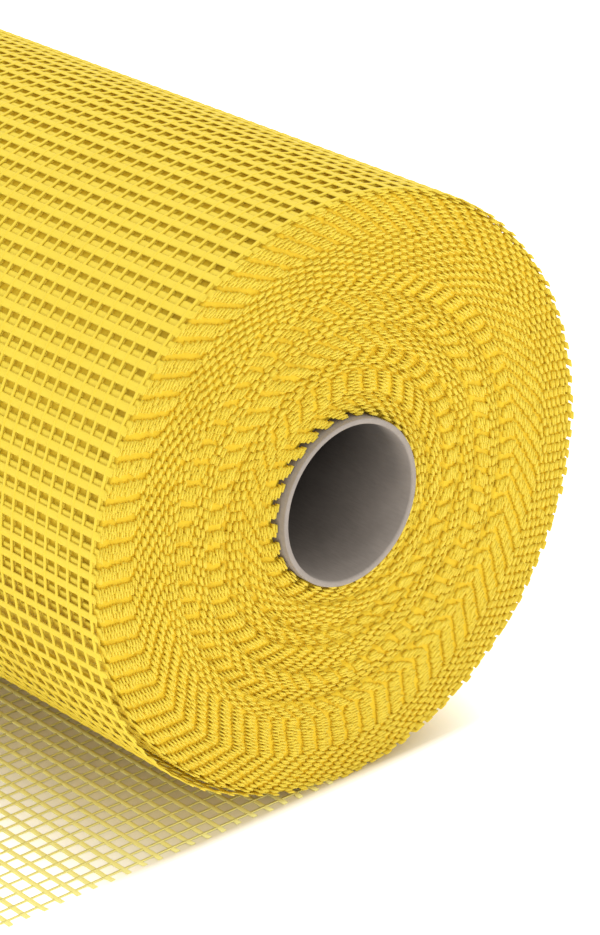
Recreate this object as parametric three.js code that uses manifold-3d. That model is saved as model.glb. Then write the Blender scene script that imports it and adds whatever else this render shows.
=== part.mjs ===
// A roll of coated glass fibre mesh on a cardboard core, lying on its side with its loose end
// run out flat on the floor.
// Millimetres. X runs along the roll, Z is up and the loose end lies towards -Y.
// The origin is on the floor, under the roll's axis and halfway along it.

import * as THREE from 'three';
import { mergeVertices } from 'three/addons/utils/BufferGeometryUtils.js';
import Module from 'manifold-3d';

const wasm = await Module();
wasm.setup();

// Driving sizes of the web, the woven mesh that is wound up
const rollWidth = 1000;
const rollDiameter = 182;
const webThickness = 0.5;
const looseLength = 250;

// Driving sizes of the rings of turns that have slipped inwards at both ends: how many there are,
// how wide the widest is and how far each one's outer edge is set in
const slipCount = 5;
const slipDiameter = 126;
const slipDepth = 1.4;

// Driving sizes of the core that the web is wound on
const coreDiameter = 51.4;
const coreWall = 1.8;
const coreProud = 1.7;

// Clearance between the core and the first turn, and the flats round each turned piece
const coreGap = 0.3;
const roundSteps = 64;

// Colours from the real materials
const webYellow = '#f2d02e';
const coreBrown = '#a3978c';

// Radii and heights that follow from the driving sizes
const rollRadius = rollDiameter / 2;
const coreRadius = coreDiameter / 2;
const boreRadius = coreRadius + coreGap;
const axisHeight = rollRadius;
const flatHalfWidth = rollRadius * Math.sin(Math.PI / roundSteps);

// One end of the wound web from the rim to the bore: radius across, length up. It is flat down to
// the widest slipped ring, and each such ring drops at its outer edge and rises again inwards.
function endProfile() {
  const flush = rollWidth / 2;
  const slipRadius = slipDiameter / 2;
  const ringThickness = (slipRadius - boreRadius) / slipCount;
  const profile = [new THREE.Vector2(rollRadius, flush)];
  for (let ring = 0; ring < slipCount; ring += 1) {
    const edge = slipRadius - ring * ringThickness;
    profile.push(new THREE.Vector2(edge, flush));
    profile.push(new THREE.Vector2(edge, flush - slipDepth));
  }
  profile.push(new THREE.Vector2(boreRadius, flush));
  return profile;
}

// Turns a closed outline round the roll's axis, with a flat, not an edge, at the bottom.
function turned(outline) {
  const closed = [...outline, outline[0].clone()];
  const halfFlat = Math.PI / roundSteps;
  const geometry = new THREE.LatheGeometry(closed, roundSteps, halfFlat);
  geometry.rotateZ(-Math.PI / 2);
  geometry.translate(0, 0, axisHeight);
  return geometry;
}

// A geometry as a solid that can be joined to others.
function toSolid(geometry) {
  const bare = geometry.clone();
  bare.deleteAttribute('normal');
  bare.deleteAttribute('uv');
  const merged = mergeVertices(bare);
  const vertProperties = new Float32Array(merged.attributes.position.array);
  const triVerts = new Uint32Array(merged.index.array);
  const mesh = new wasm.Mesh({ numProp: 3, vertProperties, triVerts });
  return new wasm.Manifold(mesh);
}

// A joined solid as a geometry again.
function toGeometry(solid) {
  const mesh = solid.getMesh();
  const geometry = new THREE.BufferGeometry();
  geometry.setAttribute('position', new THREE.BufferAttribute(mesh.vertProperties, mesh.numProp));
  geometry.setIndex(new THREE.BufferAttribute(mesh.triVerts, 1));
  geometry.computeVertexNormals();
  return geometry;
}

// The web wound on itself, with its bore and the rings of turns on both ends.
function woundTurns() {
  const nearEnd = endProfile();
  const farEnd = nearEnd.map((point) => new THREE.Vector2(point.x, -point.y)).reverse();
  return turned([...farEnd, ...nearEnd]);
}

// The last stretch of the web as a plain sheet: it leaves from under the roll and lies flat on the floor.
function looseEnd() {
  const length = looseLength + flatHalfWidth;
  const geometry = new THREE.BoxGeometry(rollWidth, length, webThickness);
  geometry.translate(0, flatHalfWidth - length / 2, webThickness / 2);
  return geometry;
}

// The cardboard tube, which stands a little proud of the web at both ends.
function coreTube() {
  const halfLength = rollWidth / 2 + coreProud;
  const innerRadius = coreRadius - coreWall;
  return turned([
    new THREE.Vector2(innerRadius, -halfLength),
    new THREE.Vector2(coreRadius, -halfLength),
    new THREE.Vector2(coreRadius, halfLength),
    new THREE.Vector2(innerRadius, halfLength),
  ]);
}

function named(name, geometry, material) {
  const mesh = new THREE.Mesh(geometry, material);
  mesh.name = name;
  return mesh;
}

const webMaterial = new THREE.MeshStandardMaterial({ color: webYellow, roughness: 0.5, metalness: 0 });
const coreMaterial = new THREE.MeshStandardMaterial({ color: coreBrown, roughness: 0.9, metalness: 0 });

const web = toSolid(woundTurns()).add(toSolid(looseEnd()));

const roll = new THREE.Group();
roll.add(named('mesh_web', toGeometry(web), webMaterial));
roll.add(named('core_tube', coreTube(), coreMaterial));

export default roll;
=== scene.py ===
"""A roll of yellow coated glass fibre mesh on a cardboard core, on its side with its loose end run out.

The web is one long strip. Every yarn of it is placed by one measure, s, the length of web between the yarn
and the line where the loose end meets the roll: s is negative on the loose end, 0 under the roll and grows
inwards along the spiral. Angles are polar angles about the roll's axis, seen from the near end (+X).
"""

import bpy
import numpy as np
from mathutils import Matrix, Vector


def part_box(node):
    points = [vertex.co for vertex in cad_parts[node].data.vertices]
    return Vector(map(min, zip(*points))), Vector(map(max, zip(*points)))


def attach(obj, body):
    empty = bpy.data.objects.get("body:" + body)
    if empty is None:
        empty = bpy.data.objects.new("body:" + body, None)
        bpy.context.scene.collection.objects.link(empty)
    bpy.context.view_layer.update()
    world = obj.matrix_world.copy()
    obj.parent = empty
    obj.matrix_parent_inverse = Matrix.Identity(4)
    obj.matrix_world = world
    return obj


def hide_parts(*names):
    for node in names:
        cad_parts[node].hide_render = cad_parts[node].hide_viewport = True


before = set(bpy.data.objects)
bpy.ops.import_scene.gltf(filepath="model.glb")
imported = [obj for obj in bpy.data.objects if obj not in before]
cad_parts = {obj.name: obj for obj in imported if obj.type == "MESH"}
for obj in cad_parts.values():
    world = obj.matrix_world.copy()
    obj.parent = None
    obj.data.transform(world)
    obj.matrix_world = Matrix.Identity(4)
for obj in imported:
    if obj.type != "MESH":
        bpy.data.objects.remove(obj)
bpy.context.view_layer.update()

bl_info = {
    "name": "Glass fibre mesh roll",
    "version": (1, 0, 0),
    "blender": (4, 5, 0),
    "location": "View3D > Sidebar > Mesh roll",
    "description": "Builds a wound roll of coated glass fibre mesh with its loose end",
    "category": "Add Mesh",
}

MM = 0.001
TURN = 2 * np.pi
FLOOR_ANGLE = 1.5 * np.pi

WEB_LOW, WEB_HIGH = (np.array(corner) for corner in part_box("mesh_web"))
CORE_LOW, CORE_HIGH = (np.array(corner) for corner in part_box("core_tube"))
HALF_WIDTH = (WEB_HIGH[0] - WEB_LOW[0]) / 2
AXIS_HEIGHT = (CORE_LOW[2] + CORE_HIGH[2]) / 2
ROLL_RADIUS = AXIS_HEIGHT
CORE_RADIUS = (CORE_HIGH[2] - CORE_LOW[2]) / 2
CORE_HALF_LENGTH = (CORE_HIGH[0] - CORE_LOW[0]) / 2
LOOSE_LENGTH = -WEB_LOW[1]

# How many of the outer turns have yarns over their whole width, how far behind the tips of the weft ends
# the plain body of the turns within them stops, and how deep in it those ends are rooted
WHOLE_TURNS = 3
END_DEPTH = 1.3 * MM
ROOT_DEPTH = 0.3 * MM

# The outer edges of the slipped rings of turns, as shares of the roll's radius, how far each ring drops
# there, the shares over which it drops and rises again, and how far the rim is rounded off
RING_EDGES = (0.692, 0.588, 0.508, 0.447, 0.366)
RING_STEP = 2.3 * MM
RING_SLOPE = 0.006
RING_FADE = 0.035
RIM_ROUNDING = 0.35 * MM

# A four-cornered yarn's thickness, as a share of the distance between turns, which it nearly fills
BAR_SHARE = 0.97

# How much wider the crosswise yarns of the outermost turn and of the one under it are pressed
OUTER_SPREAD = 1.12
UNDER_SPREAD = 1.18

# The loose end's yarns aren't pressed: their widths and thickness as shares of the wound ones'
LOOSE_WEFT = 0.8
LOOSE_WARP = 0.7
LOOSE_THICKNESS = 0.8

# The clearance between the core and the innermost turn, the core's wall and how far its ends are rounded
CORE_GAP = 0.4 * MM
CORE_WALL = 1.8 * MM
CORE_LIP = 0.3 * MM

# How far from the roll's ends the deep turns are painted darker and more orange, as painted shade in the
# recesses behind the weft ends, and over what length that painted shade blends in
END_SHADE_REACH = 12 * MM
END_SHADE_BLEND = 4 * MM

# Over how much depth the board is painted darker inside the bore, as painted shade, and the same for the
# painted shade on its upper side
BORE_SHADE_FADE = 50 * MM
LIP_SHADE_FADE = 8 * MM

# The floor is painted darker and yellower under the roll, as painted shade, and starts to glow, as painted
# light, at its sides and just past its ends
GLOW_CENTRE = 20 * MM
GLOW_HALF_DEPTH = 32 * MM
GLOW_REACH = 55 * MM
GLOW_PAST_END = 5 * MM


class WebSettings(bpy.types.PropertyGroup):
    weft_pitch: bpy.props.FloatProperty(
        name="Weft pitch",
        description="Length of web from one crosswise yarn to the next",
        default=5.9454 * MM,
        unit="LENGTH",
        precision=5,
    )
    warp_pitch: bpy.props.FloatProperty(
        name="Warp pitch",
        description="Distance from one lengthwise yarn to the next",
        default=5.05 * MM,
        unit="LENGTH",
        precision=5,
    )
    weft_width: bpy.props.FloatProperty(
        name="Weft width", description="Width of a flat crosswise yarn", default=2.4 * MM, unit="LENGTH"
    )
    warp_width: bpy.props.FloatProperty(
        name="Warp width", description="Width of a lengthwise yarn", default=1.4 * MM, unit="LENGTH"
    )
    yarn_thickness: bpy.props.FloatProperty(
        name="Yarn thickness",
        description="Thickness of a yarn with its coating",
        default=0.42 * MM,
        unit="LENGTH",
    )
    selvage: bpy.props.FloatProperty(
        name="Selvage",
        description="Length of crosswise yarn that stands out past the outermost lengthwise one",
        default=2.4 * MM,
        unit="LENGTH",
    )
    turn_pitch: bpy.props.FloatProperty(
        name="Turn pitch",
        description="How much one turn adds to the roll's radius",
        default=0.47312 * MM,
        unit="LENGTH",
        precision=6,
    )
    slack: bpy.props.FloatProperty(
        name="Slack", description="How far the outermost turn hangs off the roll low on its front",
        default=2.6 * MM, unit="LENGTH",
    )
    sag: bpy.props.FloatProperty(
        name="Sag",
        description="How much larger the roll's radius is away from the floor than at it",
        default=0.021,
    )


class FinishSettings(bpy.types.PropertyGroup):
    yarn_colour: bpy.props.FloatVectorProperty(
        name="Yarn", description="Colour of the coated yarn", subtype="COLOR", size=3,
        default=(0.80, 0.605, 0.038),
    )
    # Painted light: the loose end's yarn is painted paler than the wound yarn, standing in for light that
    # shines through it off the white floor
    loose_backlit_colour: bpy.props.FloatVectorProperty(
        name="Loose yarn", description="Colour of the yarn of the loose end, which light shines through",
        subtype="COLOR", size=3, default=(0.92, 0.84, 0.24),
    )
    depth_colour: bpy.props.FloatVectorProperty(
        name="Depth", description="Colour of the turns seen through the holes", subtype="COLOR", size=3,
        default=(0.84, 0.62, 0.032),
    )
    # Painted light: the deep turns glow in their own colour, standing in for light that reaches them through
    # the yarns above them
    depth_glow: bpy.props.FloatProperty(
        name="Depth glow",
        description="Light that reaches the deep turns through the yarns above them",
        default=0.18,
    )
    board_colour: bpy.props.FloatVectorProperty(
        name="Board",
        description="Colour of the cardboard core at its ends",
        subtype="COLOR",
        size=3,
        default=(0.33, 0.285, 0.245),
    )
    # Painted shade: the board deep in the bore and on the bore's upper side is painted towards this dark
    # colour
    bore_shade_colour: bpy.props.FloatVectorProperty(
        name="Bore", description="Colour of the board deep inside the core", subtype="COLOR", size=3,
        default=(0.065, 0.056, 0.048),
    )
    floor_colour: bpy.props.FloatVectorProperty(
        name="Floor", description="Colour of the studio floor", subtype="COLOR", size=3,
        default=(0.92, 0.92, 0.92),
    )


class StageSettings(bpy.types.PropertyGroup):
    dome_strength: bpy.props.FloatProperty(
        name="Dome strength", description="Brightness of the white surroundings", default=1.0
    )
    key_power: bpy.props.FloatProperty(
        name="Key power", description="Power of the large light above the roll", default=9.0,
        subtype="POWER",
    )
    fill_power: bpy.props.FloatProperty(
        name="Fill power", description="Power of the light that faces the near end", default=7.0,
        subtype="POWER",
    )
    floor_glow: bpy.props.FloatProperty(
        name="Floor glow", description="How much brighter than its lighting the floor is away from the roll",
        default=0.6,
    )
    lens: bpy.props.FloatProperty(
        name="Lens", description="Focal length of the camera in mm", default=130.7
    )


class Socket:
    """A shader socket that can be added, multiplied and so on like a number."""

    def __init__(self, paint, link):
        self.paint = paint
        self.link = link

    def math(self, operation, first, second=None):
        inputs = [first] if second is None else [first, second]
        return self.paint.node("ShaderNodeMath", {"operation": operation}, dict(enumerate(inputs)))

    def __add__(self, other):
        return self.math("ADD", self, other)

    __radd__ = __add__

    def __sub__(self, other):
        return self.math("SUBTRACT", self, other)

    def __rsub__(self, other):
        return self.math("SUBTRACT", other, self)

    def __mul__(self, other):
        return self.math("MULTIPLY", self, other)

    __rmul__ = __mul__

    def __truediv__(self, other):
        return self.math("DIVIDE", self, other)

    def size(self):
        return self.math("ABSOLUTE", self)

    def clamped(self):
        return self.math("MAXIMUM", self.math("MINIMUM", self, 1.0), 0.0)


class Paint:
    """A new material whose nodes are all made by one method."""

    def __init__(self, name):
        self.material = bpy.data.materials.new(name)
        self.material.use_nodes = True
        self.tree = self.material.node_tree
        self.tree.nodes.clear()

    def node(self, kind, settings=None, inputs=None, output=0):
        made = self.tree.nodes.new(kind)
        for key, value in (settings or {}).items():
            setattr(made, key, value)
        for key, value in (inputs or {}).items():
            socket = made.inputs[key]
            if isinstance(value, Socket):
                self.tree.links.new(value.link, socket)
            else:
                socket.default_value = value
        return Socket(self, made.outputs[output])

    def object_place(self):
        return self.node("ShaderNodeTexCoord", output="Object")

    def axes(self, vector):
        split = self.node("ShaderNodeSeparateXYZ", inputs={"Vector": vector})
        outputs = split.link.node.outputs
        return [Socket(self, outputs[axis]) for axis in "XYZ"]

    def noise(self, vector, scale, detail=3.0, roughness=0.5):
        return self.node(
            "ShaderNodeTexNoise",
            inputs={"Vector": vector, "Scale": scale, "Detail": detail, "Roughness": roughness},
            output="Fac",
        )

    def mix(self, factor, first, second):
        return self.node(
            "ShaderNodeMix",
            {"data_type": "RGBA"},
            {"Factor": factor, 6: colour_of(first), 7: colour_of(second)},
            output=2,
        )

    def bump(self, height, strength, distance):
        return self.node(
            "ShaderNodeBump", inputs={"Height": height, "Strength": strength, "Distance": distance}
        )

    def surface(self, **inputs):
        named = {name.replace("_", " "): value for name, value in inputs.items()}
        shader = self.node("ShaderNodeBsdfPrincipled", inputs=named)
        self.node_output(shader)
        return self.material

    def node_output(self, shader):
        output = self.tree.nodes.new("ShaderNodeOutputMaterial")
        self.tree.links.new(shader.link, output.inputs["Surface"])


def colour_of(value):
    """A socket as it is, or a plain colour with its alpha."""
    if isinstance(value, Socket):
        return value
    return (*value, 1.0)


def yarn_paint(name, base):
    """Coated glass yarn: filament streaks along the yarn from its UV map, blotches of thicker coating."""
    paint = Paint(name)
    uv = paint.node("ShaderNodeUVMap", {"uv_map": "yarn"})
    streaks = paint.node("ShaderNodeMapping", inputs={"Vector": uv, "Scale": (60.0, 9.0, 1.0)})
    filament = paint.noise(streaks, 1.0, 4.0, 0.6)
    blotch = paint.noise(paint.object_place(), 55.0, 2.0)
    thick = paint.noise(paint.object_place(), 420.0, 2.0)
    deep = [c * k for c, k in zip(base, (0.92, 0.86, 0.75))]
    pale = [min(1.0, c * k) for c, k in zip(base, (1.05, 1.09, 1.6))]
    colour = paint.mix((filament * 0.55 + blotch * 0.45).clamped(), deep, pale)
    height = filament * 0.7 + thick * 0.3
    return paint.surface(
        Base_Color=colour,
        Roughness=0.5 + 0.2 * filament,
        Normal=paint.bump(height, 0.35, 0.0001),
        Specular_IOR_Level=0.3,
    )


def wound_yarn():
    base = bpy.context.scene.roll_finish.yarn_colour
    return material_named("coated_yarn", lambda: yarn_paint("coated_yarn", base))


def loose_yarn():
    # Painted light: the paler colour stands in for light shining through the loose yarn
    base = bpy.context.scene.roll_finish.loose_backlit_colour
    return material_named("loose_yarn", lambda: yarn_paint("loose_yarn", base))


def inner_turns_paint():
    """The turns deeper than the modelled ones: blotchy, with a painted glow that stands in for light
    reaching them through the yarns above them, and painted shade towards the roll's ends.
    """
    finish = bpy.context.scene.roll_finish
    paint = Paint("inner_turns")
    place = paint.object_place()
    blotch = paint.noise(place, 40.0, 3.0)
    fine = paint.noise(place, 900.0, 2.0)
    shade = [c * k for c, k in zip(finish.depth_colour, (0.88, 0.82, 0.7))]
    # Painted shade: near the roll's ends the deep turns, in recesses behind the weft ends, are painted
    # darker and more orange
    at_end = ((paint.axes(place)[0].size() - HALF_WIDTH + END_SHADE_REACH) / END_SHADE_BLEND).clamped()
    seen = paint.mix((blotch * 0.5 + fine * 0.5).clamped(), shade, finish.depth_colour)
    end_face_shade = [c * k for c, k in zip(finish.depth_colour, (0.92, 0.87, 0.75))]
    return paint.surface(
        Base_Color=paint.mix(at_end, seen, end_face_shade),
        Roughness=0.6 + 0.2 * fine,
        Normal=paint.bump(fine, 0.6, 0.0002),
        Specular_IOR_Level=0.3,
        # Painted light: the deep turns glow in their own colour, less so near the roll's ends
        Emission_Color=paint.mix(at_end * 0.7, finish.depth_colour, (0.0, 0.0, 0.0)),
        Emission_Strength=finish.depth_glow,
    )


def board_paint():
    """Grey-brown board: mottling and fine paper fibres, with painted shade that darkens it inside the bore,
    most on its upper side.
    """
    finish = bpy.context.scene.roll_finish
    paint = Paint("wound_board")
    place = paint.object_place()
    mottle = paint.noise(place, 120.0, 4.0, 0.6)
    stretched = paint.node("ShaderNodeMapping", inputs={"Vector": place, "Scale": (260.0, 1400.0, 1400.0)})
    fibre = paint.noise(stretched, 1.0, 3.0)
    x, _, z = paint.axes(place)
    inwards = CORE_HALF_LENGTH - x.size()
    # Painted shade: the board darkens with depth into the bore, and more on the bore's upper side
    upper_side_shade = (inwards / LIP_SHADE_FADE).clamped() * ((z - AXIS_HEIGHT) / CORE_RADIUS * 0.6 + 0.25).clamped()
    depth = (inwards / BORE_SHADE_FADE + upper_side_shade).clamped()
    inside = paint.mix(depth, finish.board_colour, finish.bore_shade_colour)
    speckle = (mottle * 0.6 + fibre * 0.4).clamped()
    colour = paint.node(
        "ShaderNodeMix",
        {"data_type": "RGBA", "blend_type": "MULTIPLY"},
        {"Factor": 1.0, 6: inside, 7: paint.mix(speckle, (0.72, 0.72, 0.72), (1.25, 1.25, 1.25))},
        output=2,
    )
    return paint.surface(
        Base_Color=colour,
        Roughness=0.82 + 0.12 * fibre,
        Specular_IOR_Level=0.2,
        Normal=paint.bump(fibre * 0.6 + mottle * 0.4, 0.5, 0.0002),
    )


def floor_paint():
    """White floor that glows away from the roll, so that it ends in white; near the roll it is painted
    darker and yellower as painted shade, on top of the roll's own shadow.
    """
    scene = bpy.context.scene
    paint = Paint("studio_floor")
    x, y, _ = paint.axes(paint.object_place())
    # Painted light: away from the roll the floor glows, so it turns white there
    past_end = ((x.size() - HALF_WIDTH) / GLOW_PAST_END).clamped()
    past_side = (((y + GLOW_CENTRE).size() - GLOW_HALF_DEPTH) / GLOW_REACH).clamped()
    glow = past_end + past_side * past_side * (1.0 - past_end)
    # Painted shade: near the roll the floor is painted darker and yellower, standing in for its shadow and
    # the yellow light the roll throws back
    shade = [c * k for c, k in zip(scene.roll_finish.floor_colour, (0.86, 0.78, 0.58))]
    return paint.surface(
        Base_Color=paint.mix(glow, shade, scene.roll_finish.floor_colour),
        Roughness=0.6,
        Emission_Color=paint.mix(glow, (0.0, 0.0, 0.0), (1.0, 1.0, 1.0)),
        Emission_Strength=scene.roll_stage.floor_glow,
    )


def quad_mesh(name, points, quads, uv=None, smooth=True):
    """A mesh object from (vertices, 3) and (faces, 4) arrays, with an optional UV pair per corner."""
    mesh = bpy.data.meshes.new(name)
    mesh.vertices.add(len(points))
    mesh.vertices.foreach_set("co", np.ascontiguousarray(points, dtype=np.float32).ravel())
    mesh.loops.add(quads.size)
    mesh.loops.foreach_set("vertex_index", np.ascontiguousarray(quads, dtype=np.int32).ravel())
    mesh.polygons.add(len(quads))
    mesh.polygons.foreach_set("loop_start", np.arange(0, quads.size, 4, dtype=np.int32))
    mesh.polygons.foreach_set("use_smooth", np.full(len(quads), smooth))
    if uv is not None:
        layer = mesh.uv_layers.new(name="yarn")
        layer.data.foreach_set("uv", np.ascontiguousarray(uv, dtype=np.float32).ravel())
    mesh.update(calc_edges=True)
    mesh.validate()
    made = bpy.data.objects.new(name, mesh)
    bpy.context.scene.collection.objects.link(made)
    return made


def yarn_arrays(centres, sides, ups, outline):
    """Carries one outline along many yarns at once.

    A corner of the mesh is its yarn's centre, plus the outline's first value along side, plus its second
    along up. centres, sides and ups are (yarns, stations, 3); outline is (corners, 2), an even number of
    corners, anticlockwise as seen by someone who looks back along the yarn, with side cross up along it.
    """
    yarns, stations = centres.shape[:2]
    corners = len(outline)
    across = sides[:, :, None, :] * outline[None, None, :, 0, None]
    above = ups[:, :, None, :] * outline[None, None, :, 1, None]
    points = (centres[:, :, None, :] + across + above).reshape(-1, 3)

    yarn = np.arange(yarns)[:, None, None] * stations * corners
    station = np.arange(stations - 1)[None, :, None] * corners
    corner = np.arange(corners)[None, None, :]
    after = (corner + 1) % corners
    here = yarn + station
    there = here + corners
    walls = np.stack([here + corner, here + after, there + after, there + corner], axis=-1).reshape(-1, 4)

    fan = np.array([[0, k, k + 1, k + 2] for k in range(1, corners - 2, 2)])
    last = yarn + (stations - 1) * corners
    start_caps = (yarn + fan[None, :, ::-1]).reshape(-1, 4)
    end_caps = (last + fan[None, :, :]).reshape(-1, 4)
    quads = np.concatenate([walls, start_caps, end_caps])

    step = np.linalg.norm(np.diff(centres, axis=1), axis=-1)
    along = np.concatenate([np.zeros((yarns, 1)), np.cumsum(step, axis=1)], axis=1)
    offset = (np.arange(yarns) * 0.37)[:, None]
    u = (along + offset)[:, :, None] * np.ones(corners)
    u = u.reshape(-1)
    v = np.tile(np.arange(corners) / corners, yarns * stations)
    uv = np.stack([u[quads], v[quads]], axis=-1)
    return points, quads, uv


def ribbon_outline(width, thickness):
    """A flat yarn's section: a lens with six corners."""
    return np.array(
        [
            [width / 2, 0.0],
            [width / 3, thickness / 2],
            [-width / 3, thickness / 2],
            [-width / 2, 0.0],
            [-width / 3, -thickness / 2],
            [width / 3, -thickness / 2],
        ]
    )


def bar_outline(width, thickness):
    """A plain four-cornered section."""
    return np.array(
        [
            [width / 2, thickness / 2],
            [-width / 2, thickness / 2],
            [-width / 2, -thickness / 2],
            [width / 2, -thickness / 2],
        ]
    )


class Web:
    """Where the web runs: from a length along it to an angle and a radius, and on to a place.

    The radius falls by one turn pitch a turn. That pitch makes a turn half a weft shorter than the one
    around it, so the weft ends line up in radial ribs at one angle and slant or stagger elsewhere. Where
    the winding slipped, the radius jumps by a part of the pitch, and the ribs' angle turns by the same part
    of 360 degrees. Length is the radius summed over the angle.
    """

    SLIPS = (
        (0.994, -60),
        (0.862, 105),
        (0.740, -272),
        (RING_EDGES[0], -193),
        (0.640, -207),
        (RING_EDGES[1], -145),
        (RING_EDGES[2], -185),
        (RING_EDGES[3], -275),
        (RING_EDGES[4], 100),
    )
    SLACK_FROM, SLACK_TO = np.radians((170.0, 266.0))

    def __init__(self, settings):
        self.settings = settings
        self.thickness = settings.yarn_thickness
        core_side = CORE_RADIUS + CORE_GAP
        most_turns = int((ROLL_RADIUS - core_side) / settings.turn_pitch) + 2
        angle = np.linspace(0, most_turns * TURN, most_turns * 720)
        radius = ROLL_RADIUS - self.thickness / 2 - settings.turn_pitch * angle / TURN
        share = radius / ROLL_RADIUS
        for edge, degrees in self.SLIPS:
            radius = radius + (share < edge) * settings.turn_pitch * degrees / 360
        keep = radius > core_side
        self.angle = angle[keep]
        self.radius = radius[keep]
        mean = (self.radius[1:] + self.radius[:-1]) / 2
        self.length = np.concatenate([[0.0], np.cumsum(mean * np.diff(self.angle))])

    def length_at_turn(self, turn):
        return float(np.interp(turn * TURN, self.angle, self.length))

    def at(self, s, lift=0.0):
        """Place across the roll for lengths s: y and z, and the unit ways along the web and out of it."""
        s = np.asarray(s, float)
        wound = np.maximum(s, 0.0)
        advance = np.interp(wound, self.length, self.angle)
        radius = np.interp(wound, self.length, self.radius)
        theta = FLOOR_ANGLE + advance
        full = sagged(theta, radius, self.settings.sag) + self.slack(advance) + lift
        out_y, out_z = np.cos(theta), np.sin(theta)
        y = full * out_y + np.minimum(s, 0.0)
        z = np.maximum(AXIS_HEIGHT + full * out_z, self.thickness / 2)
        return y, z, (-out_z, out_y), (out_y, out_z)

    def slack(self, advance):
        """The outermost turn hangs off the roll in one smooth swell low on its front."""
        turn_angle = FLOOR_ANGLE + advance - TURN
        share = (turn_angle - self.SLACK_FROM) / (self.SLACK_TO - self.SLACK_FROM)
        swell = np.sin(np.pi * np.clip(share, 0.0, 1.0)) ** 2
        return self.settings.slack * swell


def sagged(theta, radius, sag):
    """A radius with the roll's sag: the same at the floor, up to sag wider elsewhere, less so further in."""
    away = 1 + np.sin(theta)
    return radius * (1 + sag * (1 - np.exp(-2.6 * away**2)) * (radius / ROLL_RADIUS) ** 2)


def end_relief(radius, theta):
    """How far the turns at a radius are set back from the roll's end.

    At each ring edge the turns drop by a step, and inwards of it they rise again as an exponential does.
    The rim itself is a little rounded off.
    """
    share = radius / ROLL_RADIUS
    total = RIM_ROUNDING * np.clip((share - 0.93) / 0.07, 0, 1) ** 2
    for edge in RING_EDGES:
        wander = 0.006 * np.sin(2 * theta + 40 * edge) + 0.004 * np.sin(5 * theta + 90 * edge)
        inside = edge + wander - share
        slope = np.clip(inside / RING_SLOPE, 0, 1)
        total = total + RING_STEP * slope * np.exp(-np.maximum(inside, 0) / RING_FADE)
    return total


def wefts_at(web, s, stations, seed, outline, waviness=0.12 * MM):
    """Whole crosswise yarns at the web lengths s, each a little wavy and with ends of its own length.

    The stations of a yarn are its two tips, the two outermost lengthwise yarns and even steps between them.
    """
    rng = np.random.default_rng(seed)
    count = len(s)
    ragged = rng.normal(0.0, 0.2 * MM, (2, count))
    outermost = HALF_WIDTH - web.settings.selvage
    x = np.empty((count, stations + 2))
    x[:, 1:-1] = np.linspace(-outermost, outermost, stations)
    x[:, 0] = -HALF_WIDTH + ragged[1]
    x[:, -1] = HALF_WIDTH - ragged[0]
    wander = rng.normal(0.0, waviness, (count, stations + 2))
    splay = rng.normal(0.0, 0.2 * MM, (2, count))
    wander[:, 0] += splay[0]
    wander[:, -1] += splay[1]
    lift = rng.normal(0.0, 0.03 * MM, (count, stations + 2))
    lift[:, [0, -1]] += rng.normal(0.0, 0.1 * MM, (count, 2))
    on_floor = s[:, None] < 0
    lift = np.where(on_floor, -np.abs(lift) * 0.5, lift)
    y, z, along, out = web.at(s[:, None] + wander, lift)
    centres = np.stack([x, y, z], axis=-1)
    flat = np.zeros_like(y)
    sides = np.stack([flat, -along[0] + flat, -along[1] + flat], axis=-1)
    ups = np.stack([flat, out[0] + flat, out[1] + flat], axis=-1)
    return yarn_arrays(centres, sides, ups, outline)


def warps_at(web, s, x, lift, outline):
    """Lengthwise yarns at the places x, each along the web lengths s, lifted off the web's middle by lift.

    Each wanders from its place by a sine of the place itself and sways by a sine of the length, so the
    yarns of two turns lie over each other.
    """
    wander = 0.10 * MM * np.sin(x * 4000.0)[:, None]
    sway = 0.10 * MM * np.sin(s[None, :] * 9.0 + x[:, None] * 300.0)
    y, z, along, out = web.at(s, lift)
    centres = np.empty((len(x), len(s), 3))
    centres[..., 0] = x[:, None] + wander + sway
    centres[..., 1] = y
    centres[..., 2] = z
    sides = np.zeros_like(centres)
    sides[..., 0] = 1.0
    ups = np.zeros_like(centres)
    ups[..., 1] = out[0]
    ups[..., 2] = out[1]
    return yarn_arrays(centres, sides, ups, outline)


def web_piece(name, arrays, material):
    """A finished piece of the web: it rides on the part's one body and stands for the web's plain solid."""
    piece = quad_mesh(name, *arrays)
    piece.data.materials.append(material)
    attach(piece, "root")
    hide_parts("mesh_web")
    return piece


def material_named(name, make):
    return bpy.data.materials.get(name) or make()


def warp_places(settings):
    """X of the lengthwise yarns: evenly spaced between the two outermost ones."""
    outermost = HALF_WIDTH - settings.selvage
    gaps = round(2 * outermost / settings.warp_pitch)
    return np.linspace(-outermost, outermost, gaps + 1)


def weft_lengths(web, first, last):
    """The web lengths of the wefts between two lengths, on one even count from the loose end inwards."""
    pitch = web.settings.weft_pitch
    return np.arange(np.ceil(first / pitch), np.floor(last / pitch) + 1) * pitch


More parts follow.
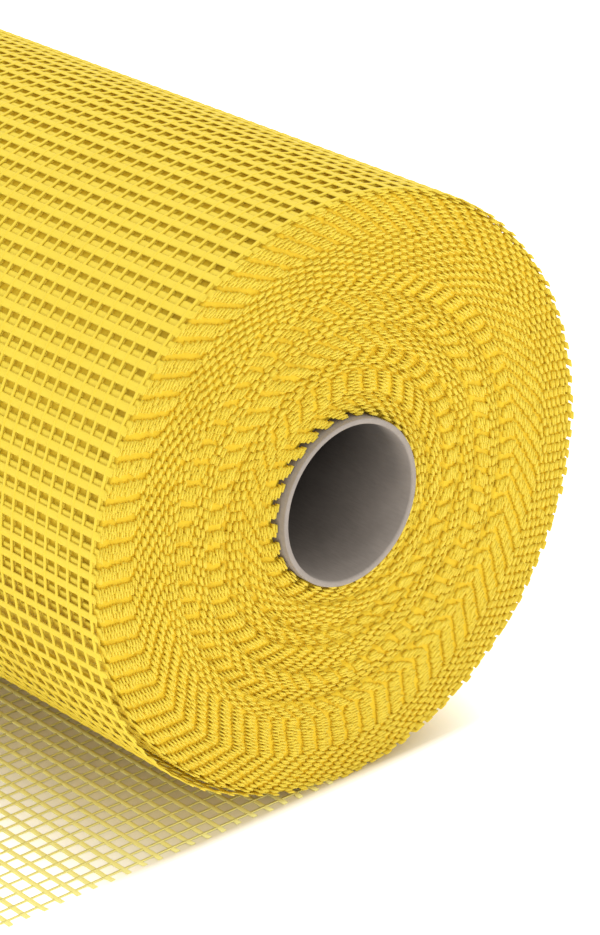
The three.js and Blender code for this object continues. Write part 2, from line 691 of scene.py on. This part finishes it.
class MESHROLL_OT_outer_turn(bpy.types.Operator):
    """Build the outermost turn: its crosswise and lengthwise yarns"""

    bl_idname = "meshroll.outer_turn"
    bl_label = "Outer turn"

    def execute(self, context):
        settings = context.scene.roll_web
        web = Web(settings)
        end = web.length_at_turn(1.0)
        material = wound_yarn()
        flat = ribbon_outline(settings.weft_width * OUTER_SPREAD, settings.yarn_thickness)
        s = weft_lengths(web, 0.0, end)
        web_piece("outer_turn_wefts", wefts_at(web, s, 24, 11, flat), material)
        half_step = settings.weft_pitch / 2
        stations = np.arange(0.0, end, half_step)
        crossing = np.cos(TURN * stations / settings.weft_pitch)
        lift = settings.yarn_thickness * (0.25 + 0.22 * crossing)
        narrow = wedge_outline(settings.warp_width, settings.yarn_thickness)
        x = warp_places(settings)
        middle = len(x) // 2
        for name, places in (("outer_turn_warps_far", x[:middle]), ("outer_turn_warps_near", x[middle:])):
            web_piece(name, warps_at(web, stations, places, lift, narrow), material)
        return {"FINISHED"}


def wedge_outline(width, thickness):
    """A low ridge: the section of a lengthwise yarn."""
    return np.array(
        [
            [width / 2, -thickness / 2],
            [width / 5, thickness / 2],
            [-width / 5, thickness / 2],
            [-width / 2, -thickness / 2],
        ]
    )


class MESHROLL_OT_under_turn(bpy.types.Operator):
    """Build the turn that shows through the outermost one's holes, and the crosswise yarns below it"""

    bl_idname = "meshroll.under_turn"
    bl_label = "Turn underneath"

    def execute(self, context):
        settings = context.scene.roll_web
        web = Web(settings)
        start = web.length_at_turn(1.0)
        end = web.length_at_turn(2.0)
        material = wound_yarn()
        flat = ribbon_outline(settings.weft_width * UNDER_SPREAD, settings.yarn_thickness)
        s = weft_lengths(web, start, end)
        web_piece("under_turn_wefts", wefts_at(web, s, 3, 21, flat, 0.05 * MM), material)
        stations = np.linspace(start, end, 60)
        narrow = wedge_outline(settings.warp_width, settings.yarn_thickness)
        lift = np.full(60, settings.yarn_thickness * 0.2)
        x = warp_places(settings)
        web_piece("under_turn_warps", warps_at(web, stations, x, lift, narrow), material)
        s = weft_lengths(web, end, web.length_at_turn(WHOLE_TURNS))
        plain = bar_outline(settings.weft_width, settings.turn_pitch * BAR_SHARE)
        web_piece("deeper_turn_wefts", wefts_at(web, s, 2, 23, plain, 0.05 * MM), material)
        return {"FINISHED"}


class MESHROLL_OT_inner_turns(bpy.types.Operator):
    """Build the plain body of the turns that lie deeper than the modelled ones"""

    bl_idname = "meshroll.inner_turns"
    bl_label = "Inner turns"

    def execute(self, context):
        web = Web(context.scene.roll_web)
        web_piece("inner_turns", inner_body(web), material_named("inner_turns", inner_turns_paint))
        return {"FINISHED"}


def inner_body(web, rows=100, columns=96):
    """A closed body from under the whole turns to the core, set back at both ends behind the weft ends.

    Its outer radius is that of the next turn at each angle. Its ends follow the relief of the turns, and dip
    next to the core.
    """
    settings = web.settings
    advance = np.linspace(0, TURN, columns, endpoint=False)
    theta = FLOOR_ANGLE + advance
    outside = np.interp(advance + WHOLE_TURNS * TURN, web.angle, web.radius)
    inside = CORE_RADIUS + CORE_GAP
    share = np.linspace(0, 1, rows)[:, None]
    radius = outside + (inside - outside) * share
    beside_core = np.clip((inside + 2.2 * MM - radius) / (1.2 * MM), 0, 1)
    back = end_relief(radius, theta) + END_DEPTH + 2 * MM * beside_core
    full = sagged(theta, radius, settings.sag)
    rings = []
    for end in (1.0, -1.0):
        x = end * (HALF_WIDTH - back)
        rings.append(np.stack([x, full * np.cos(theta), AXIS_HEIGHT + full * np.sin(theta)], axis=-1))
    near, far = rings
    return closed_grid(np.concatenate([near, far[::-1]], axis=0))


def closed_grid(grid):
    """A grid of points (rows, columns, 3) closed both ways, as a doughnut is."""
    rows, columns = grid.shape[:2]
    row = np.arange(rows)[:, None]
    column = np.arange(columns)[None, :]
    next_row = (row + 1) % rows
    next_column = (column + 1) % columns
    quads = np.stack(
        [
            row * columns + column,
            row * columns + next_column,
            next_row * columns + next_column,
            next_row * columns + column,
        ],
        axis=-1,
    ).reshape(-1, 4)
    share = np.stack([quads % columns / columns, quads // columns / rows], axis=-1)
    return grid.reshape(-1, 3), quads, share


class MESHROLL_OT_weft_ends(bpy.types.Operator):
    """Build the ends of all the wound crosswise yarns, which stand out on both ends of the roll"""

    bl_idname = "meshroll.weft_ends"
    bl_label = "Weft ends"

    def execute(self, context):
        settings = context.scene.roll_web
        web = Web(settings)
        s = weft_lengths(web, web.length_at_turn(WHOLE_TURNS), web.length[-1])
        material = wound_yarn()
        for name, side, seed in (("weft_ends_near", 1.0, 31), ("weft_ends_far", -1.0, 32)):
            web_piece(name, weft_ends(web, s, side, seed), material)
        return {"FINISHED"}


def weft_ends(web, s, side, seed):
    """A short flat bar for each weft end: out of the wound body, a little crooked, each its own length."""
    rng = np.random.default_rng(seed)
    settings = web.settings
    count = len(s)
    shift = np.stack([np.zeros(count), rng.normal(0.0, 0.25 * MM, count)], axis=1)
    placed = s + rng.normal(0.0, 0.18 * MM, count)
    lift = np.stack([np.zeros(count), rng.normal(0.0, 0.07 * MM, count)], axis=1)
    y, z, along, out = web.at(placed[:, None] + shift, lift)
    advance = np.interp(placed, web.length, web.angle)
    radius = np.interp(placed, web.length, web.radius)
    back = end_relief(radius, FLOOR_ANGLE + advance)
    tip = HALF_WIDTH - back + rng.normal(0.0, 0.15 * MM, count)
    root = HALF_WIDTH - back - END_DEPTH - ROOT_DEPTH
    x = side * np.stack([root, tip], axis=1)
    centres = np.stack([x, y, z], axis=-1)
    flat = np.zeros_like(y)
    sides = -side * np.stack([flat, along[0] + flat, along[1] + flat], axis=-1)
    ups = np.stack([flat, out[0] + flat, out[1] + flat], axis=-1)
    outline = bar_outline(settings.weft_width, settings.turn_pitch * BAR_SHARE)
    return yarn_arrays(centres, sides, ups, outline)


class MESHROLL_OT_loose_end(bpy.types.Operator):
    """Build the loose end, which lies flat on the floor in front of the roll"""

    bl_idname = "meshroll.loose_end"
    bl_label = "Loose end"

    def execute(self, context):
        settings = context.scene.roll_web
        web = Web(settings)
        material = loose_yarn()
        flat = ribbon_outline(settings.weft_width * LOOSE_WEFT, settings.yarn_thickness)
        s = weft_lengths(web, -LOOSE_LENGTH + 2 * MM, -1 * MM)
        wefts = wefts_at(web, s, 24, 41, flat)
        stations = np.arange(-LOOSE_LENGTH, settings.weft_pitch, settings.weft_pitch)
        narrow = wedge_outline(settings.warp_width * LOOSE_WARP, settings.yarn_thickness * LOOSE_THICKNESS)
        lift = np.full(len(stations), -0.05 * MM)
        web_piece("loose_end_wefts", wefts, material)
        warps = warps_at(web, stations, warp_places(settings), lift, narrow)
        web_piece("loose_end_warps", warps, material)
        return {"FINISHED"}


class MESHROLL_OT_core(bpy.types.Operator):
    """Build the cardboard core with soft lips"""

    bl_idname = "meshroll.core"
    bl_label = "Core"

    def execute(self, context):
        lip = CORE_LIP
        outer = CORE_RADIUS
        inner = outer - CORE_WALL
        end = CORE_HALF_LENGTH
        theta = np.linspace(0, TURN, 192, endpoint=False)
        outline = []
        for side in (1.0, -1.0):
            turn = [(outer, end - lip), (outer - lip * 0.3, end - lip * 0.3), (outer - lip, end),
                    (inner + 2 * lip, end), (inner + lip * 0.6, end - lip * 0.6), (inner, end - 2 * lip)]
            if side < 0:
                turn = turn[::-1]
            outline += [(radius, side * x) for radius, x in turn]
            if side > 0:
                outline += [(inner, x) for x in np.linspace(end * 0.9, -end * 0.9, 12)]
        radius = np.array([r for r, x in outline])[:, None] * np.ones_like(theta)
        x = np.array([x for r, x in outline])[:, None] * np.ones_like(theta)
        grid = np.stack([x, radius * np.cos(theta), AXIS_HEIGHT + radius * np.sin(theta)], axis=-1)
        piece = quad_mesh("core_board_tube", *closed_grid(grid))
        piece.data.materials.append(material_named("wound_board", board_paint))
        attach(piece, "root")
        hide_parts("core_tube")
        return {"FINISHED"}


class MESHROLL_OT_stage(bpy.types.Operator):
    """Set the pale floor, the soft light and the camera"""

    bl_idname = "meshroll.stage"
    bl_label = "Stage"

    def execute(self, context):
        scene = context.scene
        stage = scene.roll_stage
        make_floor()
        make_surroundings(stage.dome_strength)
        make_light("key", stage.key_power, 1.6, Vector((0.0, 0.3, 1.9)), Vector((0.3, 0.0, 0.1)))
        make_light("fill", stage.fill_power, 1.2, Vector((2.3, -0.6, 1.1)), Vector((0.5, 0.0, 0.1)))
        make_camera(stage.lens)
        scene.view_settings.view_transform = "Standard"
        scene.view_settings.look = "None"
        return {"FINISHED"}


def make_floor():
    reach = 8.0
    corners = reach * np.array([[-1.0, -1.0, 0.0], [1.0, -1.0, 0.0], [1.0, 1.0, 0.0], [-1.0, 1.0, 0.0]])
    floor = quad_mesh("studio_floor", corners, np.array([[0, 1, 2, 3]]), smooth=False)
    floor.data.materials.append(floor_paint())


def make_surroundings(strength):
    world = bpy.data.worlds.new("studio")
    world.use_nodes = True
    background = world.node_tree.nodes["Background"]
    background.inputs["Color"].default_value = (1.0, 1.0, 1.0, 1.0)
    background.inputs["Strength"].default_value = strength
    bpy.context.scene.world = world


def make_light(name, power, width, place, target):
    """A square area light of a width at a place, turned to a target."""
    light = bpy.data.lights.new(name, "AREA")
    light.energy = power
    light.shape = "SQUARE"
    light.size = width
    lamp = bpy.data.objects.new(name, light)
    turned = (place - target).to_track_quat("Z", "Y").to_matrix().to_4x4()
    lamp.matrix_world = Matrix.Translation(place) @ turned
    bpy.context.scene.collection.objects.link(lamp)


def make_camera(lens):
    """The camera stands where the photo's rim, core and outlines put it, in lengths of the fitted radius."""
    fitted_radius = 92.4 * MM
    away = Vector((7.0714, -6.4670, 4.4721)) * fitted_radius
    azimuth, elevation = np.radians((-41.560, 24.447))
    back = Vector(
        (np.cos(elevation) * np.cos(azimuth), np.cos(elevation) * np.sin(azimuth), np.sin(elevation))
    )
    camera = bpy.data.cameras.new("camera")
    camera.lens = lens
    camera.sensor_width = 36.0
    camera.sensor_fit = "AUTO"
    camera.clip_start = 0.01
    camera.clip_end = 50.0
    holder = bpy.data.objects.new("camera", camera)
    place = Vector((HALF_WIDTH, 0.0, AXIS_HEIGHT)) + away
    holder.matrix_world = Matrix.Translation(place) @ back.to_track_quat("Z", "Y").to_matrix().to_4x4()
    bpy.context.scene.collection.objects.link(holder)
    bpy.context.scene.camera = holder


class MESHROLL_PT_panel(bpy.types.Panel):
    """Lists the roll's sizes, finishes and pieces"""

    bl_idname = "MESHROLL_PT_panel"
    bl_label = "Mesh roll"
    bl_space_type = "VIEW_3D"
    bl_region_type = "UI"
    bl_category = "Mesh roll"

    def draw(self, context):
        layout = self.layout
        for group in (context.scene.roll_web, context.scene.roll_finish, context.scene.roll_stage):
            box = layout.box()
            for name in group.bl_rna.properties.keys():
                if name not in ("rna_type", "name"):
                    box.prop(group, name)
        for operator in OPERATORS:
            layout.operator(operator.bl_idname)


SETTINGS = {"roll_web": WebSettings, "roll_finish": FinishSettings, "roll_stage": StageSettings}
OPERATORS = (
    MESHROLL_OT_stage,
    MESHROLL_OT_core,
    MESHROLL_OT_inner_turns,
    MESHROLL_OT_weft_ends,
    MESHROLL_OT_under_turn,
    MESHROLL_OT_outer_turn,
    MESHROLL_OT_loose_end,
)


def register():
    for name, group in SETTINGS.items():
        bpy.utils.register_class(group)
        setattr(bpy.types.Scene, name, bpy.props.PointerProperty(type=group))
    for operator in OPERATORS:
        bpy.utils.register_class(operator)
    bpy.utils.register_class(MESHROLL_PT_panel)


def unregister():
    bpy.utils.unregister_class(MESHROLL_PT_panel)
    for operator in reversed(OPERATORS):
        bpy.utils.unregister_class(operator)
    for name, group in SETTINGS.items():
        delattr(bpy.types.Scene, name)
        bpy.utils.unregister_class(group)


def main():
    register()
    bpy.ops.meshroll.stage()
    bpy.ops.meshroll.core()
    bpy.ops.meshroll.inner_turns()
    bpy.ops.meshroll.weft_ends()
    bpy.ops.meshroll.under_turn()
    bpy.ops.meshroll.outer_turn()
    bpy.ops.meshroll.loose_end()


if __name__ == "__main__":
    main()
